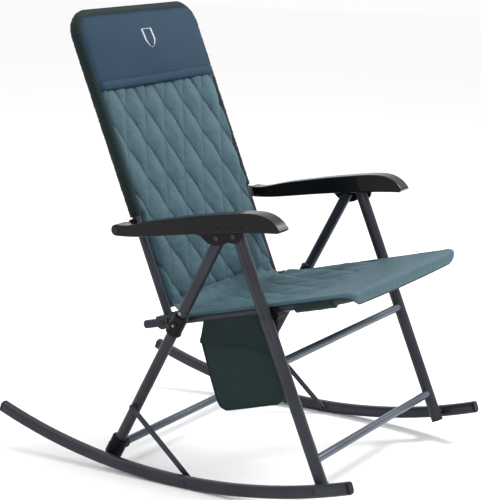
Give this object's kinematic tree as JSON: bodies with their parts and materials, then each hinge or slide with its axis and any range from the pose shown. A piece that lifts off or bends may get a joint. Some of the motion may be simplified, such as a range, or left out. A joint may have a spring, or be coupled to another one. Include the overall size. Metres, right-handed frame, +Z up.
{
  "type": "folding rocking camp chair",
  "caption": "Folding camp chair on curved rocker tubes with padded reclining back, moulded arms, fabric seat and a hanging side pocket.",
  "frame": {"origin": "centre of the bounding box in X and Y, on the floor the rockers stand on", "axes": "+Z up, -Y the way the chair faces, +X to the sitter's left"},
  "size_m": [0.686, 0.9549, 1.046],
  "materials": {
    "frame": "satin slate powder coat",
    "bar": "glossier grey-blue coat",
    "black_plastic": "moulded, fine grain",
    "arm_gloss": "polished black",
    "bright_metal": "satin",
    "seat_fabric": "teal-grey plain weave, quilted",
    "navy_fabric": "smooth petrol blue weave",
    "dark_fabric": "dark green-black mesh"
  },
  "bodies": {
    "front_frame": {"front_leg_left": "frame", "front_leg_right": "frame", "front_bar_upper": "bar", "front_bar_lower": "bar", "front_leg_plugs": "black_plastic", "rack_plate_left": "black_plastic", "rack_plate_right": "black_plastic", "leg_top_rivets": "bright_metal", "rocker_spacers": "black_plastic", "seat_rivets": "bright_metal"},
    "rear_frame": {"rear_leg_left": "frame", "rear_leg_right": "frame", "rear_bar": "bar", "boot_left": "black_plastic", "boot_right": "black_plastic", "brace_rivets": "bright_metal", "stop_rivets": "bright_metal", "rear_leg_plugs": "black_plastic"},
    "collars": {"collar_left": "black_plastic", "collar_right": "black_plastic", "collar_rivets": "bright_metal"},
    "rockers": {"rocker_left": "frame", "rocker_right": "frame", "rocker_caps": "black_plastic", "rocker_bolts": "bright_metal", "brace_bolts": "bright_metal"},
    "braces": {"brace_left": "frame", "brace_right": "frame"},
    "seat": {"seat_tube": "frame", "seat_blocks": "black_plastic", "seat_plugs": "frame", "hinge_lugs": "frame", "seat_cloth": "seat_fabric", "rail_sleeves": "dark_fabric", "side_pocket": "dark_fabric", "collar_studs": "black_plastic"},
    "hinge_pins": {"hinge_pins": "bright_metal"},
    "back": {"back_tube": "frame", "back_pad": "seat_fabric", "headrest_pad": "navy_fabric", "back_binding": "dark_fabric", "arm_bracket_left": "black_plastic", "arm_bracket_right": "black_plastic"},
    "arm_bolts": {"arm_bolts": "bright_metal"},
    "arms": {"arm_left": "arm_gloss", "arm_right": "arm_gloss", "arm_rest_pins": "bright_metal"}
  },
  "joints": [
    {"name": "fold", "type": "hinge", "parent": "front_frame", "child": "rear_frame", "pos_m": [0, -0.1255, 0.579], "axis": [-1, 0, 0], "range_deg": [0, 49], "deforming": ["side_pocket"]},
    {"name": "seat_turn", "type": "hinge", "parent": "front_frame", "child": "seat", "pos_m": [0, -0.23803, 0.417], "axis": [-1, 0, 0], "range_deg": [0, 85.76]},
    {"name": "collar_slide", "type": "slide", "parent": "rear_frame", "child": "collars", "axis": [0, 0.4802, -0.8771], "range_m": [0, 0.17795]},
    {"name": "rocker_turn", "type": "hinge", "parent": "front_frame", "child": "rockers", "pos_m": [0, -0.3835, 0.05737], "axis": [1, 0, 0], "range_deg": [0, 39.88]},
    {"name": "brace_turn", "type": "hinge", "parent": "rear_frame", "child": "braces", "pos_m": [0, 0.10453, 0.15885], "axis": [-1, 0, 0], "range_deg": [0, 144.05]},
    {"name": "back_follow", "type": "hinge", "parent": "seat", "child": "hinge_pins", "pos_m": [0, 0.0457, 0.3574], "axis": [1, 0, 0], "range_deg": [0, 73.76]},
    {"name": "recline", "type": "hinge", "parent": "hinge_pins", "child": "back", "pos_m": [0, 0.0457, 0.3574], "axis": [-1, 0, 0], "range_deg": [0, 22]},
    {"name": "arm_follow", "type": "hinge", "parent": "back", "child": "arm_bolts", "pos_m": [0, 0.1405, 0.5696], "axis": [-1, 0, 0], "range_deg": [0, 92.02]},
    {"name": "arm_level", "type": "hinge", "parent": "arm_bolts", "child": "arms", "pos_m": [0, 0.1405, 0.5696], "axis": [1, 0, 0], "range_deg": [0, 14.42]}
  ],
  "couplings": [
    {"joint": "seat_turn", "follows": "fold", "ratio": 1.7499},
    {"joint": "collar_slide", "follows": "fold", "m_per_rad": 0.20805},
    {"joint": "rocker_turn", "follows": "fold", "ratio": 0.81337},
    {"joint": "brace_turn", "follows": "fold", "ratio": 2.9395},
    {"joint": "back_follow", "follows": "fold", "ratio": 1.505},
    {"joint": "arm_follow", "follows": "fold", "ratio": 1.8776},
    {"joint": "arm_level", "follows": "recline", "ratio": 0.65455}
  ]
}
